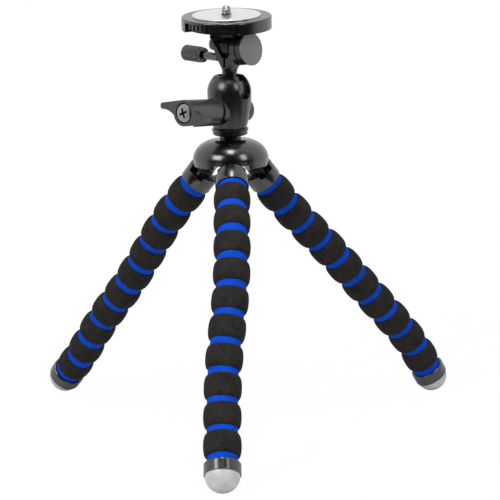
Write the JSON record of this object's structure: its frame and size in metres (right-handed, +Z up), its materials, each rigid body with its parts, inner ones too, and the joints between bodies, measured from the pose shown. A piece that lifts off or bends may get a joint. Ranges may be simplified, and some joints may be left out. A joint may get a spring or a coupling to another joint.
{
  "type": "flexible leg tripod",
  "caption": "Small camera tripod: foam pod legs bend and spread on a domed hub, and a ball head with clamp lever tilts a round screw platform.",
  "frame": {"origin": "middle of the footprint at rest, on the surface that the rubber feet stand on", "axes": "+Z up; the front leg points along -Y, the other two legs go back left and back right"},
  "size_m": [0.2842, 0.2802, 0.284],
  "materials": {
    "black_foam": "matte fine-celled foam",
    "blue_foam": "matte foam",
    "wire_steel": "bare wire",
    "collar_plastic": "satin moulded",
    "foot_rubber": "cloudy soft rubber",
    "gloss_shell": "satin gloss",
    "inner_plastic": "plain",
    "pin_steel": "turned",
    "head_plastic": "satin moulded",
    "screw_steel": "plated",
    "stem_plastic": "satin",
    "cap_grey": "fine satin",
    "knob_black": "knurled",
    "cover_plastic": "satin",
    "wheel_plastic": "ribbed",
    "pad_metal": "bright"
  },
  "bodies": {
    "hub": {"hub_dome": "gloss_shell", "hub_core": "inner_plastic", "hinge_pins": "pin_steel", "head_base": "head_plastic", "foam_cores": "blue_foam", "core_wires": "wire_steel"},
    "head": {"housing_front": "head_plastic", "housing_rear": "head_plastic", "clamp_nut": "head_plastic"},
    "clamp": {"clamp_lever": "head_plastic", "lever_screw": "screw_steel"},
    "ball_cup": {"ball_liner": "inner_plastic"},
    "ball": {"ball_stem": "stem_plastic", "tilt_axle": "pin_steel", "tilt_cap": "cap_grey"},
    "knob": {"tilt_knob": "knob_black"},
    "platform": {"platform_base": "head_plastic", "platform_cover": "cover_plastic", "top_pad": "pad_metal"},
    "wheel": {"thumb_wheel": "wheel_plastic", "camera_screw": "screw_steel"},
    "front_socket": {"front_leg_socket": "collar_plastic"},
    "front_pod_01": {"front_foam_pod_01": "black_foam"},
    "front_pod_02": {"front_foam_pod_02": "black_foam"},
    "front_pod_03": {"front_foam_pod_03": "black_foam"},
    "front_pod_04": {"front_foam_pod_04": "black_foam"},
    "front_pod_05": {"front_foam_pod_05": "black_foam"},
    "front_pod_06": {"front_foam_pod_06": "black_foam"},
    "front_pod_07": {"front_foam_pod_07": "black_foam"},
    "front_pod_08": {"front_foam_pod_08": "black_foam"},
    "front_pod_09": {"front_foam_pod_09": "black_foam"},
    "front_pod_10": {"front_foam_pod_10": "black_foam", "front_foot_cup": "collar_plastic", "front_rubber_foot": "foot_rubber"},
    "left_socket": {"left_leg_socket": "collar_plastic"},
    "left_pod_01": {"left_foam_pod_01": "black_foam"},
    "left_pod_02": {"left_foam_pod_02": "black_foam"},
    "left_pod_03": {"left_foam_pod_03": "black_foam"},
    "left_pod_04": {"left_foam_pod_04": "black_foam"},
    "left_pod_05": {"left_foam_pod_05": "black_foam"},
    "left_pod_06": {"left_foam_pod_06": "black_foam"},
    "left_pod_07": {"left_foam_pod_07": "black_foam"},
    "left_pod_08": {"left_foam_pod_08": "black_foam"},
    "left_pod_09": {"left_foam_pod_09": "black_foam"},
    "left_pod_10": {"left_foam_pod_10": "black_foam", "left_foot_cup": "collar_plastic", "left_rubber_foot": "foot_rubber"},
    "right_socket": {"right_leg_socket": "collar_plastic"},
    "right_pod_01": {"right_foam_pod_01": "black_foam"},
    "right_pod_02": {"right_foam_pod_02": "black_foam"},
    "right_pod_03": {"right_foam_pod_03": "black_foam"},
    "right_pod_04": {"right_foam_pod_04": "black_foam"},
    "right_pod_05": {"right_foam_pod_05": "black_foam"},
    "right_pod_06": {"right_foam_pod_06": "black_foam"},
    "right_pod_07": {"right_foam_pod_07": "black_foam"},
    "right_pod_08": {"right_foam_pod_08": "black_foam"},
    "right_pod_09": {"right_foam_pod_09": "black_foam"},
    "right_pod_10": {"right_foam_pod_10": "black_foam", "right_foot_cup": "collar_plastic", "right_rubber_foot": "foot_rubber"}
  },
  "joints": [
    {"name": "front_leg_spread", "type": "hinge", "parent": "hub", "child": "front_socket", "pos_m": [-0.00762, 0.01336, 0.17944], "axis": [-0.9998, -0.0175, 0], "range_deg": [-42, 4]},
    {"name": "front_curl_upper", "type": "hinge", "parent": "front_socket", "child": "front_pod_01", "pos_m": [-0.00733, -0.00336, 0.16641], "axis": [0.9997, -0.0262, 0], "range_deg": [-14, 14], "deforming": ["foam_cores", "core_wires"]},
    {"name": "front_sway_upper", "type": "hinge", "parent": "front_pod_01", "child": "front_pod_02", "pos_m": [-0.00774, -0.0191, 0.15542], "axis": [-0.0114, -0.6551, 0.7555], "range_deg": [-14, 14]},
    {"name": "front_curl_upper_2", "type": "hinge", "parent": "front_pod_02", "child": "front_pod_03", "pos_m": [-0.008, -0.0336, 0.14284], "axis": [0.9997, -0.0262, 0], "range_deg": [-14, 14]},
    {"name": "front_sway_upper_2", "type": "hinge", "parent": "front_pod_03", "child": "front_pod_04", "pos_m": [-0.00833, -0.04621, 0.12836], "axis": [-0.063, -0.8007, 0.5958], "range_deg": [-14, 14]},
    {"name": "front_curl_upper_3", "type": "hinge", "parent": "front_pod_04", "child": "front_pod_05", "pos_m": [-0.00923, -0.05761, 0.11294], "axis": [0.9848, -0.1736, 0], "range_deg": [-14, 14]},
    {"name": "front_sway_lower", "type": "hinge", "parent": "front_pod_05", "child": "front_pod_06", "pos_m": [-0.01114, -0.06848, 0.09723], "axis": [-0.1863, -0.8071, 0.5602], "range_deg": [-14, 14]},
    {"name": "front_curl_lower", "type": "hinge", "parent": "front_pod_06", "child": "front_pod_07", "pos_m": [-0.01356, -0.07896, 0.08132], "axis": [0.9863, -0.165, 0], "range_deg": [-14, 14]},
    {"name": "front_sway_lower_2", "type": "hinge", "parent": "front_pod_07", "child": "front_pod_08", "pos_m": [-0.01529, -0.08929, 0.06523], "axis": [-0.0661, -0.8402, 0.5383], "range_deg": [-14, 14]},
    {"name": "front_curl_lower_2", "type": "hinge", "parent": "front_pod_08", "child": "front_pod_09", "pos_m": [-0.0161, -0.09959, 0.04905], "axis": [0.9994, -0.0349, 0], "range_deg": [-14, 14]},
    {"name": "front_sway_lower_3", "type": "hinge", "parent": "front_pod_09", "child": "front_pod_10", "pos_m": [-0.01648, -0.11062, 0.03334], "axis": [-0.0135, -0.7708, 0.637], "range_deg": [-14, 14]},
    {"name": "left_leg_spread", "type": "hinge", "parent": "hub", "child": "left_socket", "pos_m": [-0.02092, 0.03548, 0.17944], "axis": [0.4848, 0.8746, 0], "range_deg": [-30, 12]},
    {"name": "left_curl_upper", "type": "hinge", "parent": "left_socket", "child": "left_pod_01", "pos_m": [-0.03292, 0.04213, 0.16329], "axis": [-0.5807, -0.8141, 0], "range_deg": [-14, 14], "deforming": ["foam_cores", "core_wires"]},
    {"name": "left_sway_upper", "type": "hinge", "parent": "left_pod_01", "child": "left_pod_02", "pos_m": [-0.04376, 0.04986, 0.14945], "axis": [-0.5621, 0.4886, 0.6674], "range_deg": [-14, 14]},
    {"name": "left_curl_upper_2", "type": "hinge", "parent": "left_pod_02", "child": "left_pod_03", "pos_m": [-0.05343, 0.05827, 0.13515], "axis": [-0.6561, -0.7547, 0], "range_deg": [-14, 14]},
    {"name": "left_sway_upper_2", "type": "hinge", "parent": "left_pod_03", "child": "left_pod_04", "pos_m": [-0.06212, 0.06582, 0.11979], "axis": [-0.6298, 0.51, 0.5859], "range_deg": [-14, 14]},
    {"name": "left_curl_upper_3", "type": "hinge", "parent": "left_pod_04", "child": "left_pod_05", "pos_m": [-0.07086, 0.0729, 0.10423], "axis": [-0.6225, -0.7826, 0], "range_deg": [-14, 14]},
    {"name": "left_sway_lower", "type": "hinge", "parent": "left_pod_05", "child": "left_pod_06", "pos_m": [-0.08019, 0.08032, 0.08917], "axis": [-0.5747, 0.4737, 0.6674], "range_deg": [-14, 14]},
    {"name": "left_curl_lower", "type": "hinge", "parent": "left_pod_06", "child": "left_pod_07", "pos_m": [-0.09007, 0.08847, 0.07487], "axis": [-0.6157, -0.788, 0], "range_deg": [-14, 14]},
    {"name": "left_sway_lower_2", "type": "hinge", "parent": "left_pod_07", "child": "left_pod_08", "pos_m": [-0.10007, 0.09628, 0.06046], "axis": [-0.6135, 0.4968, 0.6138], "range_deg": [-14, 14]},
    {"name": "left_curl_lower_2", "type": "hinge", "parent": "left_pod_08", "child": "left_pod_09", "pos_m": [-0.10923, 0.1037, 0.04531], "axis": [-0.7071, -0.7071, 0], "range_deg": [-14, 14]},
    {"name": "left_sway_lower_3", "type": "hinge", "parent": "left_pod_09", "child": "left_pod_10", "pos_m": [-0.11766, 0.11212, 0.03025], "axis": [-0.4136, 0.52, 0.7474], "range_deg": [-14, 14]},
    {"name": "right_leg_spread", "type": "hinge", "parent": "hub", "child": "right_socket", "pos_m": [0.00489, 0.03593, 0.17944], "axis": [0.515, -0.8572, 0], "range_deg": [-30, 12]},
    {"name": "right_curl_upper", "type": "hinge", "parent": "right_socket", "child": "right_pod_01", "pos_m": [0.01646, 0.04288, 0.1631], "axis": [-0.4848, 0.8746, 0], "range_deg": [-14, 14], "deforming": ["foam_cores", "core_wires"]},
    {"name": "right_sway_upper", "type": "hinge", "parent": "right_pod_01", "child": "right_pod_02", "pos_m": [0.02739, 0.04894, 0.14852], "axis": [0.645, 0.3429, 0.6829], "range_deg": [-14, 14]},
    {"name": "right_curl_upper_2", "type": "hinge", "parent": "right_pod_02", "child": "right_pod_03", "pos_m": [0.03896, 0.05509, 0.13449], "axis": [-0.454, 0.891, 0], "range_deg": [-14, 14]},
    {"name": "right_sway_upper_2", "type": "hinge", "parent": "right_pod_03", "child": "right_pod_04", "pos_m": [0.05097, 0.06121, 0.12082], "axis": [0.6484, 0.3233, 0.6893], "range_deg": [-14, 14]},
    {"name": "right_curl_upper_3", "type": "hinge", "parent": "right_pod_04", "child": "right_pod_05", "pos_m": [0.06281, 0.06712, 0.10691], "axis": [-0.4848, 0.8746, 0], "range_deg": [-14, 14]},
    {"name": "right_sway_lower", "type": "hinge", "parent": "right_pod_05", "child": "right_pod_06", "pos_m": [0.07407, 0.07335, 0.09266], "axis": [0.6409, 0.3626, 0.6765], "range_deg": [-14, 14]},
    {"name": "right_curl_lower", "type": "hinge", "parent": "right_pod_06", "child": "right_pod_07", "pos_m": [0.08537, 0.07975, 0.07852], "axis": [-0.5, 0.866, 0], "range_deg": [-14, 14]},
    {"name": "right_sway_lower_2", "type": "hinge", "parent": "right_pod_07", "child": "right_pod_08", "pos_m": [0.09673, 0.08631, 0.06449], "axis": [0.6279, 0.3848, 0.6765], "range_deg": [-14, 14]},
    {"name": "right_curl_lower_2", "type": "hinge", "parent": "right_pod_08", "child": "right_pod_09", "pos_m": [0.1078, 0.09309, 0.05035], "axis": [-0.5225, 0.8526, 0], "range_deg": [-14, 14]},
    {"name": "right_sway_lower_3", "type": "hinge", "parent": "right_pod_09", "child": "right_pod_10", "pos_m": [0.11823, 0.09948, 0.03555], "axis": [0.7107, 0.4615, 0.531], "range_deg": [-14, 14]},
    {"name": "head_pan", "type": "hinge", "parent": "hub", "child": "head", "pos_m": [-0.00788, 0.02825, 0.22844], "axis": [0, 0, 1], "continuous": true},
    {"name": "ball_swing", "type": "hinge", "parent": "head", "child": "ball_cup", "pos_m": [-0.00788, 0.02825, 0.22844], "axis": [-0.6561, -0.7547, 0], "range_deg": [-82, 15]},
    {"name": "ball_spin", "type": "hinge", "parent": "ball_cup", "child": "ball", "pos_m": [-0.00788, 0.02825, 0.22844], "axis": [0.0421, -0.0366, 0.9984], "continuous": true},
    {"name": "platform_tilt", "type": "hinge", "parent": "ball", "child": "platform", "pos_m": [-0.00668, 0.0272, 0.2571], "axis": [0.7535, -0.655, -0.0558], "range_deg": [-66, 58]},
    {"name": "clamp_turn", "type": "hinge", "parent": "head", "child": "clamp", "pos_m": [-0.00788, 0.02825, 0.21444], "axis": [0.654, 0.7524, -0.0785], "range_deg": [-100, 0]},
    {"name": "knob_turn", "type": "hinge", "parent": "ball", "child": "knob", "pos_m": [-0.00702, 0.02751, 0.24881], "axis": [-0.7535, 0.655, 0.0558], "continuous": true},
    {"name": "wheel_turn", "type": "hinge", "parent": "platform", "child": "wheel", "pos_m": [-0.00863, 0.02704, 0.27736], "axis": [-0.0037, -0.0892, 0.996], "continuous": true}
  ],
  "couplings": [
    {"joint": "front_curl_upper_2", "follows": "front_curl_upper", "ratio": 1},
    {"joint": "front_sway_upper_2", "follows": "front_sway_upper", "ratio": 1},
    {"joint": "front_curl_upper_3", "follows": "front_curl_upper", "ratio": 1},
    {"joint": "front_sway_lower_2", "follows": "front_sway_lower", "ratio": 1},
    {"joint": "front_curl_lower_2", "follows": "front_curl_lower", "ratio": 1},
    {"joint": "front_sway_lower_3", "follows": "front_sway_lower", "ratio": 1},
    {"joint": "left_curl_upper_2", "follows": "left_curl_upper", "ratio": 1},
    {"joint": "left_sway_upper_2", "follows": "left_sway_upper", "ratio": 1},
    {"joint": "left_curl_upper_3", "follows": "left_curl_upper", "ratio": 1},
    {"joint": "left_sway_lower_2", "follows": "left_sway_lower", "ratio": 1},
    {"joint": "left_curl_lower_2", "follows": "left_curl_lower", "ratio": 1},
    {"joint": "left_sway_lower_3", "follows": "left_sway_lower", "ratio": 1},
    {"joint": "right_curl_upper_2", "follows": "right_curl_upper", "ratio": 1},
    {"joint": "right_sway_upper_2", "follows": "right_sway_upper", "ratio": 1},
    {"joint": "right_curl_upper_3", "follows": "right_curl_upper", "ratio": 1},
    {"joint": "right_sway_lower_2", "follows": "right_sway_lower", "ratio": 1},
    {"joint": "right_curl_lower_2", "follows": "right_curl_lower", "ratio": 1},
    {"joint": "right_sway_lower_3", "follows": "right_sway_lower", "ratio": 1}
  ]
}
